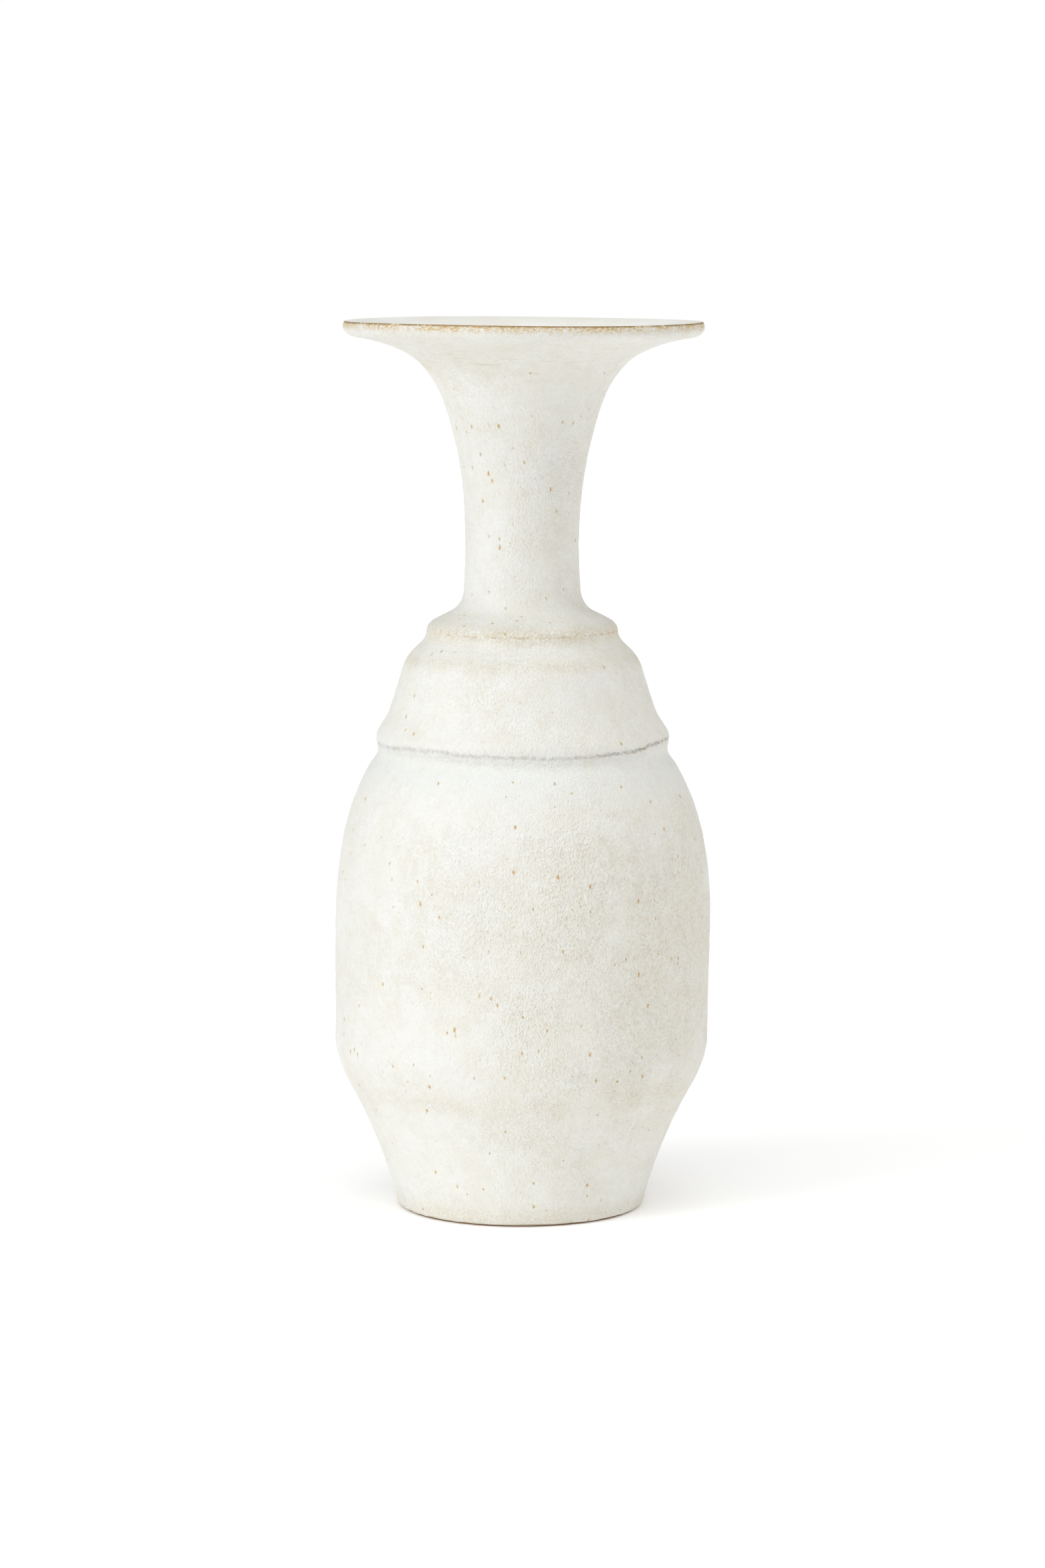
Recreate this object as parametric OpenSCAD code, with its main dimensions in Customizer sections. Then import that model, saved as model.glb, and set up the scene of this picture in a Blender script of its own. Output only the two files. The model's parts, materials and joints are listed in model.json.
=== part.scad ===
// Stoneware bud vase, thrown in three sections that are luted together with slip,
// then glazed outside and inside. The foot and its bevel stay bare.
// Origin: centre of the foot, on the table. Z runs up the axis of the vase.

/* [Overall] */
// Height from the table to the rim
vase_h = 240; // [232:1:252]
// Straight pieces that each curved stretch of an outline is drawn with
curve_steps = 8; // [4:1:12]

/* [Foot] */
// Radius where the foot meets the table
foot_r = 32.3; // [30:0.1:33.5]
// Width of the bare bevel round the foot
bevel_w = 1.2; // [0.6:0.1:2]
// Height of the bare bevel, where the glaze starts
bevel_h = 1.8; // [1.2:0.1:3]
// Width of the ring that the vase stands on
ring_w = 6; // [4:0.5:9]
// Depth of the hollow turned under the foot
recess_h = 3; // [1.5:0.5:4]
// Thickness of the floor above the hollow
floor_t = 5.5; // [4:0.5:7]

/* [Belly] */
// Largest radius of the belly
belly_r = 50.85; // [48:0.05:53]
// Height of the largest radius
belly_h = 72; // [66:1:78]
// Height where the cone above the foot has turned upright
knuckle_h = 47; // [44:0.5:50]
// Radius of the groove where the belly meets the shoulder
groove_r = 39.35; // [38.5:0.05:40]
// Height of that groove
groove_h = 125; // [124:0.5:126]
// Thickness of the belly wall, with its glaze
belly_t = 4.6; // [4:0.1:6]

/* [Shoulder] */
// Radius of the small ridge at the bottom of the shoulder
ridge_r = 39.7; // [39.3:0.05:40.5]
// Height of that ridge
ridge_h = 128.6; // [128:0.1:129.5]
// Radius at the top of the shoulder cone, before it rounds over
step_r = 32.4; // [31:0.1:33.5]
// Height at the top of the shoulder cone
step_h = 147.2; // [145:0.1:149]

/* [Neck] */
// Radius of the upright side of the collar
collar_r = 25.9; // [24.5:0.1:27]
// Height of the middle of that side
collar_h = 157; // [156:0.1:158]
// Outside radius of the neck where it is thinnest
neck_r = 15.35; // [14.8:0.05:16]
// Height of the thinnest part
neck_h = 180; // [176:1:184]
// Inside radius of the glazed neck
bore_r = 11.5; // [10:0.1:12]
// Height where the straight inside wall of the neck starts
bore_h = 168; // [166:1:172]
// Length of that straight wall
bore_l = 24; // [15:1:26]

/* [Mouth] */
// Largest radius of the rim
rim_r = 48.3; // [46:0.1:50]
// Thickness of the rim near its edge
rim_t = 4.1; // [3.6:0.1:4.6]

/* [Glaze and slip] */
// Thickness of the glaze, outside and inside
glaze_t = 0.5; // [0.3:0.05:0.7]
// Thickness of the slip in the two joints
slip_t = 1; // [0.6:0.1:1.4]
// Height of the lower joint, under the ridge
lower_joint_h = 127; // [126.6:0.1:127.2]
// Height of the joint between the shoulder and the collar
neck_joint_h = 155.6; // [155.2:0.1:156]

/* [Hidden] */

$fn = 96;

// Length of a curve's handles, as a share of the distance between its two stations
handle_share = 0.36;

// Every station below is [radius, height, lean]: the outline passes through that radius and height,
// climbing at that many degrees from upright, positive where it leans outward.

// Outer surface, from the top of the bare bevel to the top edge of the rim
outer_stations = [
    // Flared cone above the foot
    [foot_r + bevel_w, bevel_h, 16],
    [belly_r - 5.65, knuckle_h - 15.8, 28],
    // Knuckle and belly
    [belly_r - 0.25, knuckle_h, 0],
    [belly_r, belly_h, 0],
    [belly_r - 1.55, belly_h + 27.5, -10],
    [groove_r + 2.45, groove_h - 4.6, -29],
    // Groove, ridge and cone of the shoulder
    [groove_r, groove_h, 0],
    [ridge_r, ridge_h, 0],
    [ridge_r - 1.2, ridge_h + 2.8, -31],
    [ridge_r - 3.5, ridge_h + 6.8, -20],
    [step_r, step_h, -17],
    [step_r - 3.1, step_h + 4.7, -45],
    // Side and sloping top of the collar
    [collar_r, collar_h, -3],
    [collar_r - 1.8, collar_h + 2.7, -61],
    [collar_r - 6.3, collar_h + 5, -64],
    [neck_r + 0.45, collar_h + 11, -3],
    // Neck and trumpet
    [neck_r, neck_h, 0],
    [neck_r + 5.25, vase_h - 24, 17],
    [rim_r - 15.1, vase_h - 7.5, 66],
    [rim_r - 2.8, vase_h - rim_t, 80],
    // Rounded edge of the rim, up to its crisp top edge
    [rim_r, vase_h - 1.5, 0],
    [rim_r - 0.4, vase_h, -32]
];

floor_h = recess_h + floor_t;
inner_r = belly_r - belly_t;
bore_top_h = bore_h + bore_l;

// Inner surface, from the edge of the floor to the top edge of the rim
inner_stations = [
    [foot_r - 9, floor_h, 90],
    [inner_r - 8.3, floor_h + 18, 26],
    // Inside of the belly
    [inner_r - 0.35, knuckle_h + 5, 1],
    [inner_r, belly_h + 3, 0],
    [inner_r - 1.45, belly_h + 28, -10],
    [groove_r - 2.6, groove_h - 3.6, -28],
    // Inside of the shoulder
    [ridge_r - 8.2, ridge_h + 7, -19],
    [step_r - 5, step_h + 0.4, -20],
    [bore_r + 7.8, collar_h - 0.6, -55],
    // Straight neck, then the dished mouth
    [bore_r, bore_h, 0],
    [bore_r, bore_top_h, 0],
    [neck_r + 1.5, vase_h - 23, 18],
    [rim_r - 16.8, vase_h - 4.2, 70],
    [rim_r - 0.4, vase_h, 84]
];

// Unit vector that climbs at a lean
function heading(lean) = [sin(lean), cos(lean)];

// Radius and height of a station
function place(station) = [station[0], station[1]];

// Point at t, from 0 to 1, of the cubic curve with the control points a, b, c and d
function cubic(a, b, c, d, t) =
    pow(1 - t, 3) * a + 3 * pow(1 - t, 2) * t * b + 3 * (1 - t) * t * t * c + pow(t, 3) * d;

// Two stations on one upright line are joined by a single straight wall
function is_upright(p, q) = p[0] == q[0] && p[2] == 0 && q[2] == 0;

// Points from one station to the next, without the first
function stretch(p, q) =
    let (a = place(p), d = place(q), reach = handle_share * norm(d - a))
    let (steps = is_upright(p, q) ? 1 : curve_steps)
    [for (i = [1:steps]) cubic(a, a + reach * heading(p[2]), d - reach * heading(q[2]), d, i / steps)];

// Smooth outline through a list of stations
function outline(stations) = concat(
    [place(stations[0])],
    [for (i = [0:len(stations) - 2]) each stretch(stations[i], stations[i + 1])]
);

function reverse(path) = [for (i = [len(path) - 1:-1:0]) path[i]];

// Direction of travel at point i of a path
function travel(path, i) =
    let (step = path[min(i + 1, len(path) - 1)] - path[max(i - 1, 0)])
    step / norm(step);

// The path moved to its left by a distance, or to its right when the distance is negative
function beside(path, distance) = [
    for (i = [0:len(path) - 1])
        let (t = travel(path, i))
        path[i] + distance * [-t[1], t[0]]
];

outer_path = outline(outer_stations);
inner_path = concat([[0, floor_h]], outline(inner_stations));

// Half section of the whole vase, glaze included
module vase_half() {
    ring_in_r = foot_r - ring_w;
    cove = outline([[ring_in_r, 0, -20], [ring_in_r - recess_h, recess_h, -90]]);
    underside = concat([[0, recess_h]], reverse(cove), [[foot_r, 0]]);
    polygon(concat(underside, outer_path, reverse(inner_path)));
}

// Half section of the outer glaze
module outer_glaze_half() {
    polygon(concat(outer_path, reverse(beside(outer_path, glaze_t))));
}

// Half section of the glaze inside, which meets the outer glaze along the top edge of the rim
module liner_half() {
    difference() {
        polygon(concat(inner_path, reverse(beside(inner_path, -glaze_t))));
        outer_glaze_half();
    }
}

// Half section of the fired clay, between the two glazes
module clay_half() {
    difference() {
        vase_half();
        outer_glaze_half();
        liner_half();
    }
}

// Turns the part of a half section that lies between two heights
module turned_between(low_h, high_h) {
    rotate_extrude()
        intersection() {
            children();
            translate([0, low_h])
                square([belly_r + rim_r, high_h - low_h]);
        }
}

module lower_section() {
    color("burlywood")
        turned_between(0, lower_joint_h)
            clay_half();
}

module lower_joint_slip() {
    color("dimgray")
        turned_between(lower_joint_h, lower_joint_h + slip_t)
            clay_half();
}

module shoulder_section() {
    color("tan")
        turned_between(lower_joint_h + slip_t, neck_joint_h)
            clay_half();
}

module neck_joint_slip() {
    color("gray")
        turned_between(neck_joint_h, neck_joint_h + slip_t)
            clay_half();
}

module neck_section() {
    color("wheat")
        turned_between(neck_joint_h + slip_t, vase_h)
            clay_half();
}

module lower_glaze() {
    color("ivory")
        turned_between(0, lower_joint_h)
            outer_glaze_half();
}

module shoulder_glaze() {
    color("floralwhite")
        turned_between(lower_joint_h, neck_joint_h)
            outer_glaze_half();
}

module neck_glaze() {
    color("antiquewhite")
        turned_between(neck_joint_h, vase_h)
            outer_glaze_half();
}

module liner_glaze() {
    color("white")
        rotate_extrude()
            liner_half();
}

lower_section();
lower_joint_slip();
shoulder_section();
neck_joint_slip();
neck_section();
lower_glaze();
shoulder_glaze();
neck_glaze();
liner_glaze();
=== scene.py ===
"""Looks of the stoneware bud vase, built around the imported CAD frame.

Every CAD node is a solid of revolution. Each one is replaced by a finer turned piece whose half
section is read back from the node's own mesh. All the pieces share one hand-thrown irregularity, so
they stay nested.
"""

import json
import math

import bpy
import numpy as np
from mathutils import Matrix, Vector


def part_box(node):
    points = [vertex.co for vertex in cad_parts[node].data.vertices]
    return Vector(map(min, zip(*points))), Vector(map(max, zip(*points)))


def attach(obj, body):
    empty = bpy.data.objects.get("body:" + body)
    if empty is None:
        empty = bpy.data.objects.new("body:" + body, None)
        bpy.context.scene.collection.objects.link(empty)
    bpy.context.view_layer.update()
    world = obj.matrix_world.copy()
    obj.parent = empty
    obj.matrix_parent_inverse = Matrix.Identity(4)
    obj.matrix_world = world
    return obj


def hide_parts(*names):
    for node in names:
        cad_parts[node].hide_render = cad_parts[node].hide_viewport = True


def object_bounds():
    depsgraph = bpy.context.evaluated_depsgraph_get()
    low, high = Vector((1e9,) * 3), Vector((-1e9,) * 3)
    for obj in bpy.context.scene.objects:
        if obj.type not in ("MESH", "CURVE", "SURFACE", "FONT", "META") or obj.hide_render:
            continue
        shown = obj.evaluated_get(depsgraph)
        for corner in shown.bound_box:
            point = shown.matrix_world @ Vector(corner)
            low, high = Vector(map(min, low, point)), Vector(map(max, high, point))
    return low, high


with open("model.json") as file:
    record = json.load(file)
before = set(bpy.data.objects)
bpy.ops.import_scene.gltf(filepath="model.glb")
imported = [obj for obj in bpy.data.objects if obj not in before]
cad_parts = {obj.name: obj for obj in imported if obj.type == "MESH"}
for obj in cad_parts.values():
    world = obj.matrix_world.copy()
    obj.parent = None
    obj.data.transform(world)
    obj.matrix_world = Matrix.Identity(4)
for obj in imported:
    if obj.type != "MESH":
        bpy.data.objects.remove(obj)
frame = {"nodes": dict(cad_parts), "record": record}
cad_low, cad_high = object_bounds()

MM = 0.001

SLOT_OF = {part["node"]: part["material_slot"] for part in frame["record"]["subparts"]}

# Height and rim radius of the CAD vase, then the heights where the glaze starts, where the lower joint
# is and where the joint under the collar is, all in mm
VASE_H = cad_high.z / MM
RIM_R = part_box("neck_glaze")[1].x / MM
GLAZE_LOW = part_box("lower_glaze")[0].z / MM
SEAM_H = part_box("lower_glaze")[1].z / MM
COLLAR_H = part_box("shoulder_glaze")[1].z / MM


# ---------------------------------------------------------------- half sections

# Two corners of a half section that are closer than this, in mm, are one
SAME_MM = 0.02
# A half section turns by more than this at a real edge, and by less along a curve
EDGE_TURN = math.radians(35)
# First gap between rings of points at a real edge, in mm, and its growth per mm away from the edge
FIRST_GAP = 0.15
GAP_GROWTH = 0.18


def mesh_corners(mesh):
    """Corners of a turned mesh's half section, [radius, height] in mm, and the pairs that an edge joins."""
    places = np.empty(len(mesh.vertices) * 3)
    mesh.vertices.foreach_get("co", places)
    places = places.reshape(-1, 3) / MM
    flat = np.column_stack([np.hypot(places[:, 0], places[:, 1]), places[:, 2]])
    keys, key_of = np.unique(np.round(flat, 3), axis=0, return_inverse=True)
    corners = []
    corner_of = []
    for key in keys:
        near = [i for i, corner in enumerate(corners) if np.abs(corner - key).max() < SAME_MM]
        if not near:
            corners.append(key)
        corner_of.append(near[0] if near else len(corners) - 1)
    ends = np.empty(len(mesh.edges) * 2, int)
    mesh.edges.foreach_get("vertices", ends)
    ends = np.array(corner_of)[key_of.reshape(-1)[ends]].reshape(-1, 2)
    return corners, set(map(tuple, ends[ends[:, 0] != ends[:, 1]]))


def half_section(node):
    """Half section of a node, as points in order, anticlockwise.

    It starts and ends on the axis if it meets the axis.
    """
    corners, pairs = mesh_corners(frame["nodes"][node].data)
    joined = {i: set() for i in range(len(corners))}
    for a, b in pairs:
        joined[a].add(b)
        joined[b].add(a)
    loose = [i for i in joined if len(joined[i]) == 1]
    walk = [loose[0] if loose else 0]
    while True:
        ahead = sorted(joined[walk[-1]] - set(walk))
        if not ahead:
            break
        walk.append(ahead[0])
    path = np.array([corners[i] for i in walk])
    if loose and path[0, 0] > SAME_MM:
        path = np.vstack([[0, path[0, 1]], path])
    if loose and path[-1, 0] > SAME_MM:
        path = np.vstack([path, [0, path[-1, 1]]])
    after = np.roll(path, -1, axis=0)
    area = (path[:, 0] * after[:, 1] - after[:, 0] * path[:, 1]).sum()
    return path if area > 0 else path[::-1]


def runs_between_edges(path):
    """Splits a half section at its real edges, into runs that share their end points."""
    step = np.roll(path, -1, axis=0) - path
    heading = np.arctan2(step[:, 1], step[:, 0])
    turn = np.abs((heading - np.roll(heading, 1) + math.pi) % math.tau - math.pi)
    edges = [i for i in range(len(path)) if turn[i] > EDGE_TURN]
    if max(path[0, 0], path[-1, 0]) < SAME_MM:
        edges = sorted(set(edges) | {0, len(path) - 1})
    else:
        path = np.vstack([path[edges[0]:], path[:edges[0] + 1]])
        edges = [i - edges[0] for i in edges] + [len(path) - 1]
    return [path[a:b + 1] for a, b in zip(edges, edges[1:])]


def graded(length, widest):
    """Distances along a run, close together at both of its ends and up to widest apart between them."""
    half = [0.0]
    while half[-1] < length / 2:
        half.append(half[-1] + min(widest, FIRST_GAP + GAP_GROWTH * half[-1]))
    half = np.array(half) * (length / 2) / half[-1]
    return np.concatenate([half, length - half[-2::-1]])


def smooth_run(points, widest):
    """Smooth curve through the points of a run, and its outward normals."""
    chord = np.linalg.norm(np.diff(points, axis=0), axis=1)
    along = np.concatenate([[0], np.cumsum(chord)])
    slope = np.gradient(points, along, axis=0, edge_order=2 if len(points) > 2 else 1)
    at = graded(along[-1], widest)
    # Each new point lies a share t of the way from point i to the next one, on a cubic curve
    i = np.clip(np.searchsorted(along, at, side="right") - 1, 0, len(chord) - 1)
    t = ((at - along[i]) / chord[i])[:, None]
    reach = chord[i][:, None]
    curve = (1 + 2 * t) * (1 - t) ** 2 * points[i] + t * (1 - t) ** 2 * reach * slope[i]
    curve = curve + t * t * (3 - 2 * t) * points[i + 1] + t * t * (t - 1) * reach * slope[i + 1]
    ahead = np.gradient(curve, at, axis=0)
    ahead /= np.linalg.norm(ahead, axis=1)[:, None]
    return curve, np.column_stack([ahead[:, 1], -ahead[:, 0]])


SECTIONS = {node: half_section(node) for node in frame["nodes"]}


def is_buried(node, run):
    """True if a run of a node's half section lies against other nodes, and so never shows."""
    others = np.vstack([SECTIONS[other] for other in SECTIONS if other != node])
    gaps = np.abs(run[:, None, :] - others[None, :, :]).max(axis=2).min(axis=1)
    return np.median(gaps) < SAME_MM


# ---------------------------------------------------------------- hand-thrown irregularity

# How many waves make up one irregularity, and the scale that keeps their sum mostly within 1
WAVE_COUNT = 9
WAVE_SCALE = 1.3 / 1.5 / math.sqrt(WAVE_COUNT)
# Sideways drift of the axis, [height, to the right, to the back] in mm
AXIS_DRIFT = np.array([
    [0, -0.55, 0.1],
    [45, -0.35, 0.3],
    [75, 0.05, 0.1],
    [110, 0.25, -0.2],
    [135, -0.05, -0.1],
    [180, -0.1, 0.2],
    [VASE_H, 0.35, 0.1],
])
# How far the vase is out of round at the rim, and the height over which that turns by half a radian
OVALITY = 0.16
OVAL_TWIST = 45
# Line of the lower joint round the vase, [degrees from the front, rise in mm]
SEAM_LINE = [
    [-160, -0.4],
    [-110, 0.3],
    [-70, 0.1],
    [-45, 0.8],
    [-14, 0.1],
    [20, -0.5],
    [42, 0.1],
    [72, 1.5],
    [110, 0.4],
    [150, 0.6],
]
# Degrees over which one point of that line gives way to the next
SEAM_BLUR = 14
# Soft and fine waver of that line
SEAM_WAVER = 0.12
SEAM_TREMOR = 0.06
# Half of the height over which the outline makes up for the joint's rise
SEAM_REACH = 7
# How far the rim is tilted and warped, and the height below it that this fades over
RIM_TILT = 0.25
RIM_WARP = 0.1
RIM_REACH = 45
# How far the glaze hangs down over the bare bevel, how much that varies, and the height it fades over
GLAZE_HANG = 1.25
GLAZE_WAVER = 0.08
GLAZE_REACH = 4
# Radius of the glaze's rounded lower edge, then the thickness, height and width of the bead above it
GLAZE_ROLL = 0.35
GLAZE_BEAD = 0.25
BEAD_RISE = 1.1
BEAD_WIDTH = 1.0


def waves(angle, height, seed, turns, pitch):
    """Sum of soft waves round and along the vase, mostly within 1.

    turns is the most lobes round the vase, and pitch is the shortest wave along it, in mm.
    """
    draw = np.random.default_rng(seed)
    total = 0
    for _ in range(WAVE_COUNT):
        around = draw.integers(0, turns + 1)
        along = draw.uniform(-1, 1) * math.tau / pitch
        total = total + np.cos(around * angle + along * height + draw.uniform(0, math.tau))
    return total * WAVE_SCALE


def soft_step(x, low, high):
    """0 up to low and 1 from high on, with a soft step between them."""
    t = np.clip((x - low) / (high - low), 0, 1)
    return t * t * (3 - 2 * t)


def hump(x, middle, width):
    """1 in the middle, falling off softly on both sides."""
    return np.exp(-(((x - middle) / width) ** 2))


def seam_rise(angle):
    """Rise of the lower joint at an angle, in mm."""
    front = np.degrees(angle) + 90
    total = 0
    # A little weight from the start, so that the sum is never divided by 0
    weight = 1e-6
    for degrees, rise in SEAM_LINE:
        share = hump((front - degrees + 180) % 360 - 180, 0, SEAM_BLUR)
        total = total + share * rise
        weight = weight + share
    waver = SEAM_WAVER * waves(angle, 0, seed=5, turns=24, pitch=40)
    tremor = SEAM_TREMOR * waves(angle, 0, seed=6, turns=90, pitch=40)
    return total / weight + waver + tremor


class Outline:
    """Radius of the vase's outside at a height, where it is nearly upright."""

    def __init__(self, *nodes):
        runs = [(node, run) for node in nodes for run in runs_between_edges(SECTIONS[node])]
        shown = np.vstack([run for node, run in runs if not is_buried(node, run)])
        self.heights, first = np.unique(shown[:, 1], return_index=True)
        self.radii = shown[first, 0]

    def radius(self, height):
        """Radius at a height. Below the lowest point the outline goes on at the lean it starts with."""
        below = np.minimum(height - self.heights[0], 0)
        lean = (self.radii[1] - self.radii[0]) / (self.heights[1] - self.heights[0])
        return np.interp(height, self.heights, self.radii) + below * lean


OUTLINE = Outline("lower_glaze", "shoulder_glaze")


def slid(radius, height, rise):
    """Moves points up along the outline by a rise, so that the shape stays and only its marks move."""
    return radius + OUTLINE.radius(height + rise) - OUTLINE.radius(height), height + rise


def thrown(radius, height, angle):
    """Moves points of the ideal vase to where the potter left them. Gives x, y and z in mm."""
    radius, height = slid(radius, height, seam_rise(angle) * hump(height, SEAM_H, SEAM_REACH))
    radius = radius * (1 + OVALITY / RIM_R * np.cos(2 * angle + height / OVAL_TWIST))
    x = radius * np.cos(angle) + np.interp(height, AXIS_DRIFT[:, 0], AXIS_DRIFT[:, 1])
    y = radius * np.sin(angle) + np.interp(height, AXIS_DRIFT[:, 0], AXIS_DRIFT[:, 2])
    tilt = RIM_WARP * np.cos(3 * angle) - RIM_TILT * x / RIM_R
    return x, y, height + tilt * soft_step(height, VASE_H - RIM_REACH, VASE_H)


# ---------------------------------------------------------------- relief of each slot's shown surface

# Depth of the outer glaze's soft dents and of its throwing rings, in mm
DENT_DEPTH = 0.1
RING_DEPTH = 0.035
# Depth and half width of its crease over the lower joint, in mm
CREASE_DEPTH = 0.06
CREASE_WIDTH = 0.55
# Depth of the throwing rings inside, of the turning tool's rings and of the slip's squeeze, in mm
INNER_RING_DEPTH = 0.06
TOOL_DEPTH = 0.05
SQUEEZE_DEPTH = 0.05
# Relief starts this far from where two glazes meet, and is whole this far from it, in mm
FADE_START = 0.1
FADE_END = 2.5


def edge_fade(height):
    """0 where two glazes meet, at the rim's top edge and under the collar, and 1 away from there."""
    at_rim = soft_step(VASE_H - height, FADE_START, FADE_END)
    at_collar = soft_step(np.abs(height - COLLAR_H), FADE_START, FADE_END)
    return at_rim * at_collar


def outer_glaze_relief(radius, height, angle):
    """Soft dents, throwing rings, the crease over the lower joint, and the rounded lower edge."""
    dents = DENT_DEPTH * waves(angle, height, seed=11, turns=5, pitch=34)
    rings = RING_DEPTH * waves(angle, height, seed=12, turns=1, pitch=4)
    uneven = 0.8 + 0.6 * waves(angle, 0, seed=13, turns=60, pitch=9)
    crease = CREASE_DEPTH * hump(height, SEAM_H, CREASE_WIDTH) * uneven
    low = np.clip((GLAZE_LOW + GLAZE_ROLL * 2 - height) / (GLAZE_ROLL * 2), 0, 1)
    roll = GLAZE_ROLL * (1 - np.sqrt(1 - low ** 2))
    bead = GLAZE_BEAD * hump(height, GLAZE_LOW + BEAD_RISE, BEAD_WIDTH)
    return (dents + rings) * edge_fade(height) - crease + bead - roll


def liner_glaze_relief(radius, height, angle):
    """Throwing rings that show through the glaze inside."""
    return INNER_RING_DEPTH * waves(angle, height, seed=21, turns=3, pitch=11) * edge_fade(height)


def clay_relief(radius, height, angle):
    """Rings that the turning tool cut into the clay, deepest from 1 to 2 mm above the table."""
    deepest = soft_step(height, 0.05, 1) * soft_step(-height, -3.5, -2)
    rings = waves(angle, radius, seed=31, turns=1, pitch=1.6) * (0.4 + 0.6 * deepest)
    return TOOL_DEPTH * rings - TOOL_DEPTH


def slip_relief(radius, height, angle):
    """Uneven squeeze of the slip between two sections."""
    return SQUEEZE_DEPTH * waves(angle, height, seed=41, turns=20, pitch=3)


# Relief, and the widest gap between rings of points where a piece shows and where it is buried, in mm
TURNING = {
    "outer_glaze": (outer_glaze_relief, 0.8, 1.6),
    "liner_glaze": (liner_glaze_relief, 1.75, 3.5),
    "clay": (clay_relief, 0.6, 2.4),
    "slip": (slip_relief, 1.0, 1.0),
}
# Points in each ring
SEGMENTS = 320


# ---------------------------------------------------------------- turned pieces

def turned_rings(node):
    """Rings of a node's finer half section, one row each.

    A row holds a ring's radius and height, its outward normal, whether it shows and whether it is an edge.
    """
    _, shown_gap, buried_gap = TURNING[SLOT_OF[node]]
    runs = []
    for run in runs_between_edges(SECTIONS[node]):
        buried = is_buried(node, run)
        runs.append((*smooth_run(run, buried_gap if buried else shown_gap), buried))
    rings = []
    for before, (points, normals, buried) in zip([runs[-1]] + runs, runs):
        first = len(rings)
        for i in range(len(points) - 1):
            rings.append([*points[i], *normals[i], not buried, i == 0])
        # A corner between a shown run and a buried one moves with the shown surface
        _, normals_before, buried_before = before
        if buried and not buried_before:
            rings[first][2:5] = [*normals_before[-1], True]
    if points[-1, 0] < SAME_MM:
        rings.append([*points[-1], *normals[-1], not buried, False])
    return np.array(rings, float)


def turned_piece(node):
    """The smooth, slightly irregular piece that stands for a turned CAD node."""
    slot = SLOT_OF[node]
    angle = np.arange(SEGMENTS) * math.tau / SEGMENTS
    radius, height, out_r, out_z, shows, edge = [column[:, None] for column in turned_rings(node).T]
    rest_height = height + 0 * angle
    relief = TURNING[slot][0]
    depth = relief(radius, height, angle) * shows
    on_axis = radius < SAME_MM
    radius = np.where(on_axis, 0, radius + depth * out_r)
    height = np.where(on_axis, height, np.maximum(height + depth * out_z, 0))
    if node == "lower_glaze":
        hang = GLAZE_HANG + GLAZE_WAVER * waves(angle, 0, seed=51, turns=40, pitch=9)
        share = 1 - soft_step(rest_height, GLAZE_LOW, GLAZE_LOW + GLAZE_REACH)
        radius, height = slid(radius, height, -hang * share)
    grid = np.stack(np.broadcast_arrays(*thrown(radius, height, angle)), axis=2)
    mesh = turned_mesh(node, grid, rest_height, on_axis[:, 0], edge[:, 0] > 0)
    piece = bpy.data.objects.new(f"{node}_{slot}", mesh)
    bpy.context.scene.collection.objects.link(piece)
    mesh.materials.append(LOOKS[slot])
    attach(piece, "root")
    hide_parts(node)


def turned_mesh(name, grid, rest_height, on_axis, edge):
    """Closed mesh of a grid of rings. A ring on the axis becomes one point."""
    count = np.where(on_axis, 1, SEGMENTS)
    start = np.cumsum(count) - count
    column = np.arange(SEGMENTS)
    index = start[:, None] + np.where(on_axis[:, None], 0, column)
    faces = []
    for low in range(len(grid) - 1 if on_axis.any() else len(grid)):
        high = (low + 1) % len(grid)
        corners = [index[low], np.roll(index[low], -1), np.roll(index[high], -1), index[high]]
        quads = np.column_stack(corners)
        if on_axis[low]:
            quads = quads[:, [0, 2, 3]]
        if on_axis[high]:
            quads = quads[:, [0, 1, 2]]
        faces += quads.tolist()
    ring_of = np.repeat(np.arange(len(grid)), count)
    mesh = bpy.data.meshes.new(name)
    mesh.from_pydata(np.vstack([ring[:n] for ring, n in zip(grid, count)]) * MM, [], faces)
    mesh.shade_smooth()
    ends = np.empty(len(mesh.edges) * 2, int)
    mesh.edges.foreach_get("vertices", ends)
    rings = ring_of[ends.reshape(-1, 2)]
    sharp = (rings[:, 0] == rings[:, 1]) & edge[rings[:, 0]]
    mesh.attributes.new("sharp_edge", "BOOLEAN", "EDGE").data.foreach_set("value", sharp)
    rest = np.concatenate([ring[:n] for ring, n in zip(rest_height, count)]).astype(np.float32)
    mesh.attributes.new("rest_height", "FLOAT", "POINT").data.foreach_set("value", rest)
    return mesh


# ---------------------------------------------------------------- materials

# Shift of a pattern in X, Y and Z for each step of its seed
SEED_SHIFT = (31.7, 17.3, 5.9)
# Notches per mm in a speck's ragged edge, and the least size and the range of sizes of the specks
SPECK_NOTCHES = 2.2
LEAST_SPECK = 0.4
SPECK_RANGE = 0.8


def tone(red, green, blue):
    """Linear colour of an 8-bit screen colour whose channels are above 10."""
    linear = [((c / 255 + 0.055) / 1.055) ** 2.4 for c in (red, green, blue)]
    return (*linear, 1.0)


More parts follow.
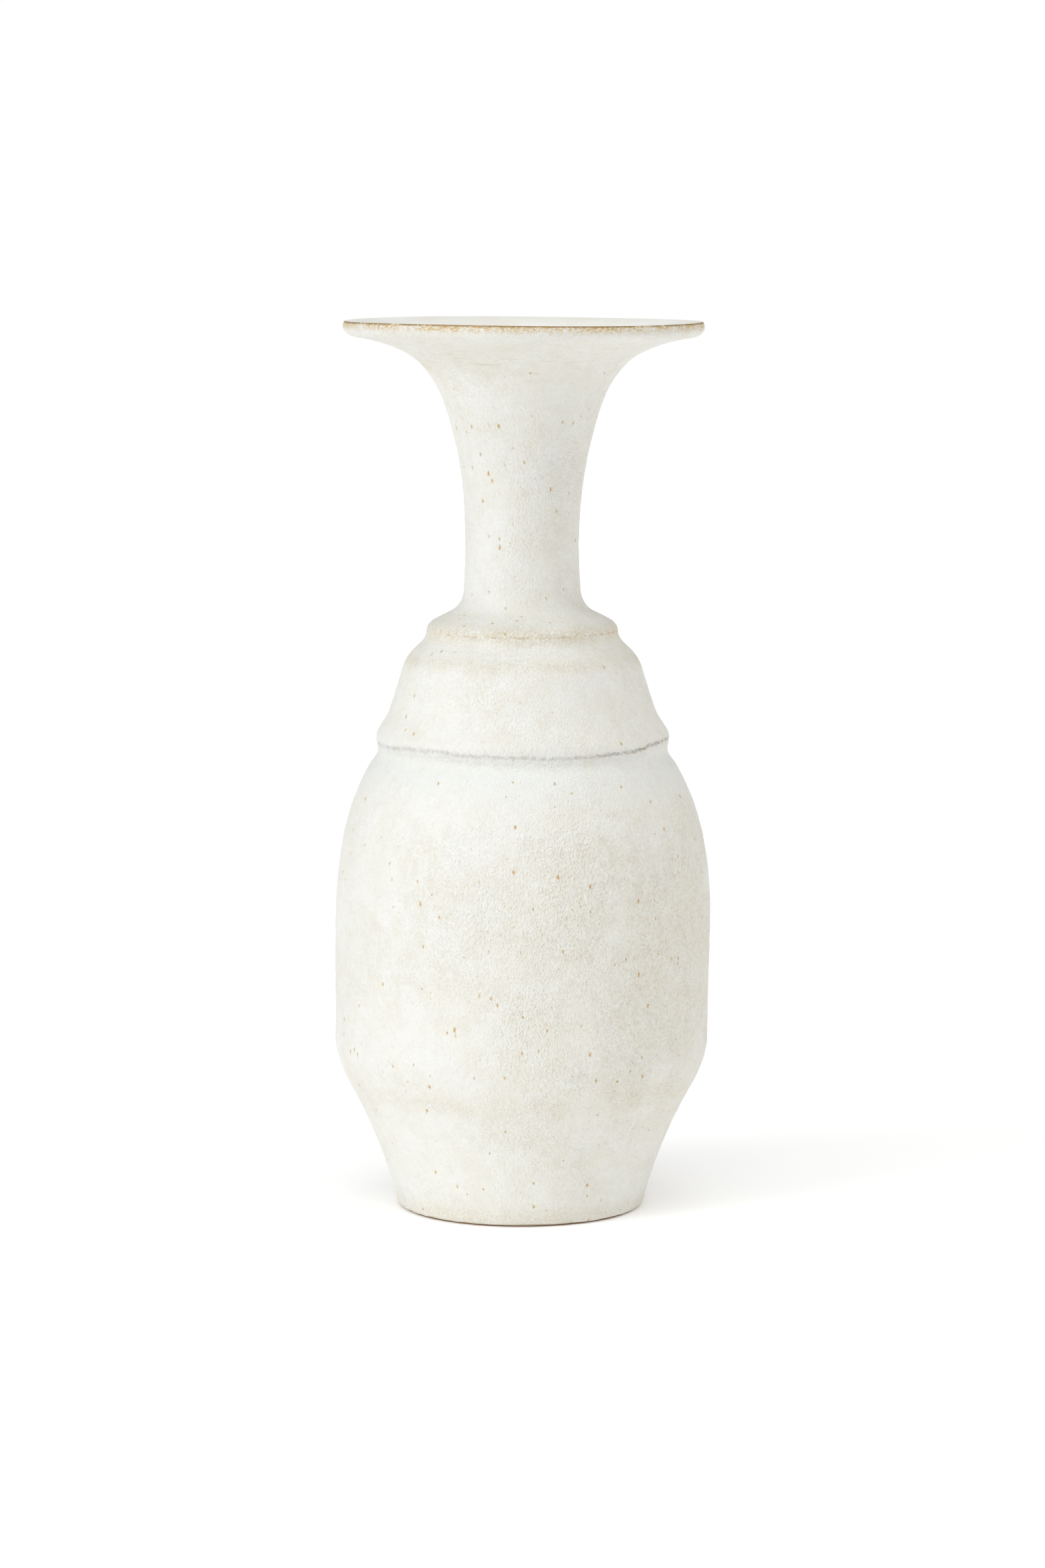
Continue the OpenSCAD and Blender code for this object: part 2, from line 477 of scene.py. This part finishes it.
class Look:
    """A material under construction.

    Lengths are in mm, and the sockets that its methods give can be fed to others.
    """

    def __init__(self, name):
        self.material = bpy.data.materials.new(name)
        self.material.use_nodes = True
        self.tree = self.material.node_tree
        self.tree.nodes.clear()
        self.place = self.add("TexCoord").outputs["Object"]
        self.height = None

    def add(self, kind, inputs=(), **settings):
        """New shader node. An input is a plain value or the socket that feeds it."""
        made = self.tree.nodes.new("ShaderNode" + kind)
        for key, value in settings.items():
            setattr(made, key, value)
        for key, value in dict(inputs).items():
            if isinstance(value, bpy.types.NodeSocket):
                self.tree.links.new(value, made.inputs[key])
            else:
                made.inputs[key].default_value = value
        return made

    def math(self, operation, a, b=0.0, clamp=False):
        return self.add("Math", {0: a, 1: b}, operation=operation, use_clamp=clamp).outputs[0]

    def times(self, a, b):
        return self.math("MULTIPLY", a, b)

    def plus(self, a, b):
        return self.math("ADD", a, b)

    def spread(self, seed, stretch=1.0):
        """Object coordinates in mm, shifted for each seed.

        They are squeezed along Z by stretch, so that marks come out longer.
        """
        shift = tuple(seed * step for step in SEED_SHIFT)
        scale = (1 / MM, 1 / MM, 1 / MM / stretch)
        inputs = {"Vector": self.place, "Location": shift, "Scale": scale}
        return self.add("Mapping", inputs).outputs[0]

    def noise(self, size, seed, detail=2.0, roughness=0.5, stretch=1.0):
        """Noise between 0 and 1 whose marks are about size mm across."""
        inputs = {
            "Vector": self.spread(seed, stretch),
            "Scale": 1 / size,
            "Detail": detail,
            "Roughness": roughness,
        }
        return self.add("TexNoise", inputs).outputs["Fac"]

    def grade(self, value, low, high, start=0.0, end=1.0):
        """Soft step of a value, from start at low to end at high."""
        inputs = {"Value": value, "From Min": low, "From Max": high, "To Min": start, "To Max": end}
        return self.add("MapRange", inputs, interpolation_type="SMOOTHSTEP").outputs[0]

    def band(self, middle, half_width, wobble=0.0, size=6.0, seed=0):
        """1 at a height, falling to 0 at half_width above and below it.

        The band strays from that height by up to wobble, in waves of about size mm.
        """
        if self.height is None:
            self.height = self.add("Attribute", attribute_name="rest_height").outputs["Fac"]
        height = self.height
        if wobble:
            shift = self.math("MULTIPLY_ADD", self.noise(size, seed, detail=3.0), 2 * wobble)
            shift.node.inputs[2].default_value = -wobble
            height = self.plus(height, shift)
        gap = self.math("ABSOLUTE", self.math("SUBTRACT", height, middle))
        return self.grade(gap, 0.0, half_width, 1.0, 0.0)

    def near(self, spot, low, high):
        """1 within low mm of a spot, falling to 0 at high mm."""
        gap = self.add("VectorMath", {0: self.spread(0), 1: spot}, operation="DISTANCE").outputs["Value"]
        return self.grade(gap, low, high, 1.0, 0.0)

    def blend(self, factor, a, b):
        """Colour a where factor is 0, and b where it is 1."""
        return self.add("Mix", {0: factor, 6: a, 7: b}, data_type="RGBA").outputs[2]

    def specks(self, cell, share, low, high, seed, stretch=1.0):
        """Ragged spots in a share of cells: 1 inside low mm of the cell's point and 0 past high mm."""
        inputs = {"Vector": self.spread(seed + 0.5), "Scale": SPECK_NOTCHES, "Detail": 1.0}
        ragged = self.add("TexNoise", inputs)
        warp = {0: ragged.outputs["Color"], 1: (0.5, 0.5, 0.5)}
        warp = self.add("VectorMath", warp, operation="SUBTRACT").outputs[0]
        moved = {0: warp, 1: (high, high, high), 2: self.spread(seed, stretch)}
        moved = self.add("VectorMath", moved, operation="MULTIPLY_ADD").outputs[0]
        spots = self.add("TexVoronoi", {"Vector": moved, "Scale": 1 / cell})
        chosen = self.add("SeparateColor", {0: spots.outputs["Color"]})
        size = self.math("MULTIPLY_ADD", chosen.outputs[1], SPECK_RANGE)
        size.node.inputs[2].default_value = LEAST_SPECK
        gap = self.math("DIVIDE", spots.outputs["Distance"], size)
        near = self.grade(gap, low / cell, high / cell, 1.0, 0.0)
        pick = self.math("LESS_THAN", chosen.outputs[0], share)
        return self.times(near, pick)

    def finish(self, color, roughness, relief, inputs=()):
        """Joins the colour, the roughness and the relief in mm to the surface."""
        bump = self.add("Bump", {"Height": relief, "Strength": 1.0, "Distance": MM})
        sockets = {"Base Color": color, "Roughness": roughness, "Normal": bump.outputs[0], **dict(inputs)}
        surface = self.add("BsdfPrincipled", sockets)
        self.add("OutputMaterial", {"Surface": surface.outputs[0]})
        return self.material


# Screen colours of the outer glaze and of the marks in it
GLAZE_WHITE = tone(230, 230, 225)
GLAZE_CREAM = tone(227, 225, 216)
GLAZE_COOL = tone(224, 227, 225)
GLAZE_WARM = tone(230, 225, 206)
STAIN = tone(212, 207, 194)
STREAK = tone(216, 208, 188)
# Beige glaze in the grains' hollows, partly painted shade, then a painted highlight for the grains' raised
# tops
PIT_AND_SHADE = tone(212, 197, 160)
GRAIN_TOP_HIGHLIGHT = tone(243, 243, 239)
CRYSTAL = tone(248, 248, 244)
WORN = tone(203, 189, 157)
SEAM_GREY = tone(156, 154, 148)
SEAM_BROWN = tone(140, 128, 108)
COLLAR_BROWN = tone(188, 158, 112)
RIM_RING = tone(211, 203, 183)
RIM_RUST = tone(196, 162, 90)
RIM_BROWN = tone(142, 112, 58)
IRON = tone(190, 146, 60)
DUST = tone(190, 166, 104)

# Bands where the outer glaze has run thin: [height, half width, wobble, amount, seed]
WORN_BANDS = [
    [GLAZE_LOW + 1.4, 3.0, 1.2, 0.4, 9],
    [GLAZE_LOW + 33.2, 5, 3, 0.3, 10],
    [COLLAR_H - 5.8, 2.8, 1.2, 0.42, 8],
    [COLLAR_H + 1.8, 3.5, 1.0, 0.72, 7],
]
# Middle of the part of the belly where the glaze is most sugary, in mm
ROUGH_SPOT = (38, -34, 71)
# Middle of the part of the lower joint where the line is darkest and brownest, in mm
SEAM_STAIN = (34, -19, SEAM_H)
# Height of the thin brown line on the side of the collar, and of the middle of the rings under the rim
COLLAR_LINE_H = COLLAR_H + 1.6
RIM_RINGS_H = VASE_H - 10


def glaze_grains(look, rough):
    """The outer glaze's fine patterns: dense grain, pebbly skin, vertical streaks and white crystals."""
    crystals = look.specks(cell=0.8, share=0.6, low=0.04, high=0.2, seed=29, stretch=1.2)
    return (
        look.noise(0.5, 4, detail=1.0, roughness=0.5, stretch=1.35),
        look.noise(0.8, 5, detail=3.0, roughness=0.6, stretch=1.3),
        look.noise(1.5, 3, detail=3.0, roughness=0.6, stretch=7),
        look.times(crystals, look.grade(rough, 0, 1, 0.2, 0.9)),
    )


def glaze_color(look, sugary, rough, grains):
    """White glaze, broken up by faint beige clouds, stains and streaks, and by fine grains. The grains'
    hollows are beige glaze darkened with painted shade, and their raised tops carry a painted highlight.
    """
    grain, pebble, streaks, crystals = grains
    clouds = look.noise(11, 1, detail=6.0, roughness=0.72)
    stains = look.noise(3.6, 2, detail=6.0, roughness=0.78, stretch=1.3)
    cool = look.band(SEAM_H - 6, 11, wobble=3, size=9, seed=22)
    stained = look.times(look.grade(stains, 0.42, 0.76, 0.0, 0.46), look.grade(rough, 0, 1, 0.8, 1.5))
    streaked = look.grade(streaks, 0.5, 0.8, 0.0, 0.16)
    # Painted shade over the beige in the grains' hollows, and a painted highlight where the pebbly relief
    # is highest
    pits_and_shade = look.times(look.grade(grain, 0.52, 0.28), look.grade(rough, 0, 1, 0.08, 0.45))
    painted_highlight = look.times(look.grade(pebble, 0.5, 0.72), look.grade(rough, 0, 1, 0.15, 0.45))
    color = look.blend(look.grade(clouds, 0.36, 0.64), GLAZE_WHITE, GLAZE_CREAM)
    color = look.blend(look.times(cool, 0.6), color, GLAZE_COOL)
    color = look.blend(look.times(sugary, 0.36), color, GLAZE_WARM)
    color = look.blend(stained, color, STAIN)
    color = look.blend(streaked, color, STREAK)
    color = look.blend(pits_and_shade, color, PIT_AND_SHADE)
    color = look.blend(painted_highlight, color, GRAIN_TOP_HIGHLIGHT)
    return look.blend(crystals, color, CRYSTAL)


def glaze_grain_relief(look, rough, grains):
    """Height of the grains in mm: higher where the glaze is rough, and crinkled along the lower joint."""
    grain, pebble, streaks, crystals = grains
    relief = look.plus(look.times(grain, 0.42), look.times(pebble, 0.26))
    relief = look.times(relief, look.grade(rough, 0, 1, 0.5, 1.32))
    relief = look.plus(relief, look.times(crystals, 0.06))
    crinkle = look.times(look.band(SEAM_H - 0.6, 2.6, wobble=0.8, size=3, seed=23), pebble)
    relief = look.plus(relief, look.times(crinkle, 0.42))
    return look.plus(relief, look.times(streaks, 0.02))


def worn_bands(look, color):
    """Beige grains where the glaze has run thin: at the foot, the knuckle, the step and the collar."""
    worn = 0.0
    for middle, half_width, wobble, amount, seed in WORN_BANDS:
        band = look.band(middle, half_width, wobble, size=7, seed=seed)
        worn = look.plus(worn, look.times(band, amount))
    patches = look.grade(look.noise(9, 11, detail=3.0, roughness=0.6), 0.3, 0.6, 0.3, 1.0)
    flecks = look.grade(look.noise(0.6, 28, detail=3.0, roughness=0.7), 0.38, 0.58)
    worn = look.math("MULTIPLY", look.times(worn, patches), flecks, clamp=True)
    return look.blend(worn, color, WORN)


def broken_line(look, color, paint, line, seed, patch, low, high, most):
    """Paints a thin line that comes and goes in patches of about patch mm.

    It is missing where the noise is under low, and at its strongest, most, where the noise is over high.
    """
    shown = look.grade(look.noise(patch, seed, detail=4.0, roughness=0.7), low, high, 0.0, most)
    return look.blend(look.times(line, shown), color, paint)


def seam_line(look, color):
    """Grey line over the lower joint, which is darker and browner to the right of the front."""
    right = look.near(SEAM_STAIN, low=6, high=36)
    paint = look.blend(right, SEAM_GREY, SEAM_BROWN)
    line = look.band(SEAM_H, 0.85, wobble=0.75, size=0.9, seed=12)
    most = look.grade(right, 0, 1, 0.42, 0.72)
    return broken_line(look, color, paint, line, seed=12.3, patch=1.7, low=0.3, high=0.6, most=most)


def collar_line(look, color):
    """Faint brown line on the side of the collar."""
    line = look.band(COLLAR_LINE_H, 0.4, wobble=0.4, size=0.9, seed=18)
    return broken_line(look, color, COLLAR_BROWN, line, seed=18.3, patch=2.2, low=0.44, high=0.62, most=0.6)


def rim_stains(look, color):
    """Faint rings under the rim, golden grains along its edge, and the thin brown line on top of it."""
    rings = look.noise(12, 25, detail=4.0, roughness=0.6, stretch=0.1)
    ringed = look.band(RIM_RINGS_H, 7, wobble=1, size=12, seed=26)
    color = look.blend(look.times(look.grade(rings, 0.5, 0.7, 0.0, 0.6), ringed), color, RIM_RING)
    grains = look.grade(look.noise(0.8, 27, detail=3.0, roughness=0.7, stretch=0.5), 0.36, 0.6)
    patches = look.grade(look.noise(7, 15, detail=4.0, roughness=0.7), 0.32, 0.56, 0.12, 1.0)
    edge = look.band(VASE_H - 0.5, 2.3, wobble=0.6, size=2, seed=14)
    color = look.blend(look.times(edge, look.times(grains, patches)), color, RIM_RUST)
    line = look.band(VASE_H - 0.1, 0.6, wobble=0.25, size=0.9, seed=16)
    return broken_line(look, color, RIM_BROWN, line, seed=16.3, patch=5, low=0.25, high=0.5, most=0.95)


def iron_specks(look):
    """Specks in clusters, with few on the shoulder and under the rim."""
    share = look.grade(look.noise(9, 24), 0.4, 0.62, 0.14, 0.7)
    for bare in (SEAM_H + 7, VASE_H - 2):
        share = look.times(share, look.grade(look.band(bare, 24), 0, 0.6, 1.0, 0.2))
    return look.specks(cell=2.2, share=share, low=0.1, high=0.48, seed=20, stretch=2.0)


def outer_glaze_look():
    """Satin white glaze. It is sugary on the right of the belly, and smoother under the lower joint."""
    look = Look("outer_glaze")
    patches = look.grade(look.noise(15, 6, detail=4.0, roughness=0.6), 0.34, 0.62, 0.35, 1.0)
    sugary = look.times(look.near(ROUGH_SPOT, low=4, high=72), patches)
    rough = look.plus(sugary, look.grade(look.noise(26, 8), 0.35, 0.65, 0.12, 0.45))
    smooth = look.times(look.band(SEAM_H - 6, 16), 0.4)
    rough = look.math("SUBTRACT", rough, smooth, clamp=True)
    grains = glaze_grains(look, rough)
    iron = iron_specks(look)
    dust = look.specks(cell=1.4, share=0.3, low=0.03, high=0.26, seed=21, stretch=1.4)
    color = glaze_color(look, sugary, rough, grains)
    for add_marks in (worn_bands, seam_line, collar_line, rim_stains):
        color = add_marks(look, color)
    color = look.blend(look.times(iron, 0.9), color, IRON)
    color = look.blend(look.times(dust, 0.55), color, DUST)
    relief = glaze_grain_relief(look, rough, grains)
    relief = look.math("SUBTRACT", relief, look.times(iron, 0.06))
    grain = grains[0]
    return look.finish(color, look.grade(grain, 0.3, 0.7, 0.62, 0.48), relief)


def liner_glaze_look():
    """Smoother white glaze inside, with a few specks."""
    look = Look("liner_glaze")
    clouds = look.noise(22, 31, detail=3.0, roughness=0.55)
    grain = look.noise(0.8, 32)
    specks = look.specks(cell=4.5, share=0.1, low=0.15, high=0.45, seed=33)
    color = look.blend(look.grade(clouds, 0.36, 0.66), tone(239, 239, 235), tone(232, 230, 221))
    color = look.blend(look.grade(grain, 0.5, 0.3, 0.0, 0.15), color, tone(214, 206, 188))
    color = look.blend(look.times(specks, 0.8), color, tone(188, 146, 84))
    relief = look.times(grain, 0.06)
    return look.finish(color, look.grade(grain, 0.3, 0.7, 0.5, 0.4), relief)


def clay_look():
    """Toasted bare stoneware with dark grog, and a dark line of painted contact shadow just above the
    table.
    """
    look = Look("clay")
    clouds = look.noise(9, 41, detail=3.0, roughness=0.6)
    grain = look.noise(0.5, 42, detail=3.0, roughness=0.6)
    grog = look.specks(cell=1.6, share=0.3, low=0.1, high=0.4, seed=43)
    # Painted contact shadow: the lowest half mm of the clay is darkened where the foot meets the table
    painted_contact_shadow = look.times(look.band(0.2, 0.3), 0.9)
    color = look.blend(look.grade(clouds, 0.35, 0.65), tone(214, 180, 138), tone(194, 154, 110))
    color = look.blend(look.grade(grain, 0.45, 0.7, 0.0, 0.6), color, tone(222, 196, 158))
    color = look.blend(look.times(grog, 0.8), color, tone(104, 72, 48))
    color = look.blend(painted_contact_shadow, color, tone(74, 66, 58))
    relief = look.plus(look.times(grain, 0.08), look.times(grog, 0.06))
    return look.finish(color, look.grade(grain, 0.3, 0.7, 0.95, 0.8), relief)


def slip_look():
    """Grey-brown fired slip."""
    look = Look("slip")
    clouds = look.noise(6, 51, detail=3.0, roughness=0.6)
    grain = look.noise(0.6, 52)
    color = look.blend(look.grade(clouds, 0.35, 0.65), tone(150, 140, 128), tone(120, 108, 96))
    color = look.blend(look.grade(grain, 0.5, 0.7, 0.0, 0.5), color, tone(176, 166, 150))
    relief = look.times(grain, 0.07)
    return look.finish(color, look.grade(grain, 0.3, 0.7, 0.9, 0.75), relief)


LOOKS = {
    "outer_glaze": outer_glaze_look(),
    "liner_glaze": liner_glaze_look(),
    "clay": clay_look(),
    "slip": slip_look(),
}

for node in SECTIONS:
    turned_piece(node)


# ---------------------------------------------------------------- studio

# Strength of the white surroundings as a light, and of the floor's own glow
SKY_LIGHT = 0.42
FLOOR_GLOW = 0.2
# Half of the floor's side and the distance of the lamps, as multiples of the vase's height
FLOOR_REACH = 25
LAMP_DISTANCE = 8
# Distant lights: [name, degrees to the right of the front, degrees up, degrees across, strength, colour]
LAMPS = [
    ["key", -57, 20, 28, 1.19, (0.945, 0.972, 1.0)],
    ["fill", 95, 30, 60, 0.44, (1.0, 0.975, 0.92)],
    ["top", -6, 71, 60, 1.4, (1.0, 1.0, 1.0)],
]
# Distance and height of the camera, and height of the point it looks at, as multiples of the vase's height
EYE_DISTANCE = 5.35
EYE_HEIGHT = 1.14
AIM_HEIGHT = 0.48
# Focal length, and the height of the film that it goes with, in mm
LENS = 109.7
FILM_HEIGHT = 36
# Farthest distance that the camera draws, in metres
FARTHEST = 100


def studio_floor():
    """Plain near-white floor that glows faintly, so that it fades into the white behind it."""
    half = cad_high.z * FLOOR_REACH
    corners = [(-half, -half, 0), (half, -half, 0), (half, half, 0), (-half, half, 0)]
    mesh = bpy.data.meshes.new("floor")
    mesh.from_pydata(corners, [], [(0, 1, 2, 3)])
    floor = bpy.data.objects.new("floor", mesh)
    bpy.context.scene.collection.objects.link(floor)
    look = Look("floor")
    paper = look.noise(3, 61)
    color = look.blend(look.grade(paper, 0.3, 0.7), tone(243, 243, 243), tone(245, 245, 245))
    glow = {"Emission Color": (1, 1, 1, 1), "Emission Strength": FLOOR_GLOW}
    mesh.materials.append(look.finish(color, 0.9, look.times(paper, 0.02), glow))


def studio_world():
    """White all round, at full strength for the camera and at SKY_LIGHT for everything else."""
    world = bpy.data.worlds.new("studio")
    bpy.context.scene.world = world
    world.use_nodes = True
    tree = world.node_tree
    tree.nodes.clear()
    path = tree.nodes.new("ShaderNodeLightPath")
    strength = tree.nodes.new("ShaderNodeMapRange")
    strength.inputs["To Min"].default_value = SKY_LIGHT
    strength.inputs["To Max"].default_value = 1.0
    background = tree.nodes.new("ShaderNodeBackground")
    background.inputs["Color"].default_value = (1, 1, 1, 1)
    output = tree.nodes.new("ShaderNodeOutputWorld")
    tree.links.new(path.outputs["Is Camera Ray"], strength.inputs["Value"])
    tree.links.new(strength.outputs[0], background.inputs["Strength"])
    tree.links.new(background.outputs[0], output.inputs["Surface"])


def soft_sun(name, azimuth, elevation, spread, strength, color):
    """Distant light, spread degrees across. Azimuth is in degrees to the right of the front."""
    light = bpy.data.lights.new(name, "SUN")
    light.angle = math.radians(spread)
    light.energy = strength
    light.color = color
    lamp = bpy.data.objects.new(name, light)
    bpy.context.scene.collection.objects.link(lamp)
    turn = math.radians(azimuth)
    lift = math.radians(elevation)
    away = Vector((math.sin(turn) * math.cos(lift), -math.cos(turn) * math.cos(lift), math.sin(lift)))
    lamp.location = away * cad_high.z * LAMP_DISTANCE
    lamp.rotation_euler = away.to_track_quat("Z", "Y").to_euler()


def camera():
    """Camera in front of the vase, a little above its rim."""
    data = bpy.data.cameras.new("camera")
    data.sensor_fit = "VERTICAL"
    data.sensor_height = FILM_HEIGHT
    data.lens = LENS
    data.clip_end = FARTHEST
    eye = bpy.data.objects.new("camera", data)
    bpy.context.scene.collection.objects.link(eye)
    eye.location = (0, -EYE_DISTANCE * cad_high.z, EYE_HEIGHT * cad_high.z)
    aim = Vector((0, 0, AIM_HEIGHT * cad_high.z)) - eye.location
    eye.rotation_euler = aim.to_track_quat("-Z", "Y").to_euler()
    bpy.context.scene.camera = eye


studio_floor()
studio_world()
for lamp in LAMPS:
    soft_sun(*lamp)
camera()
bpy.context.scene.view_settings.view_transform = "Standard"
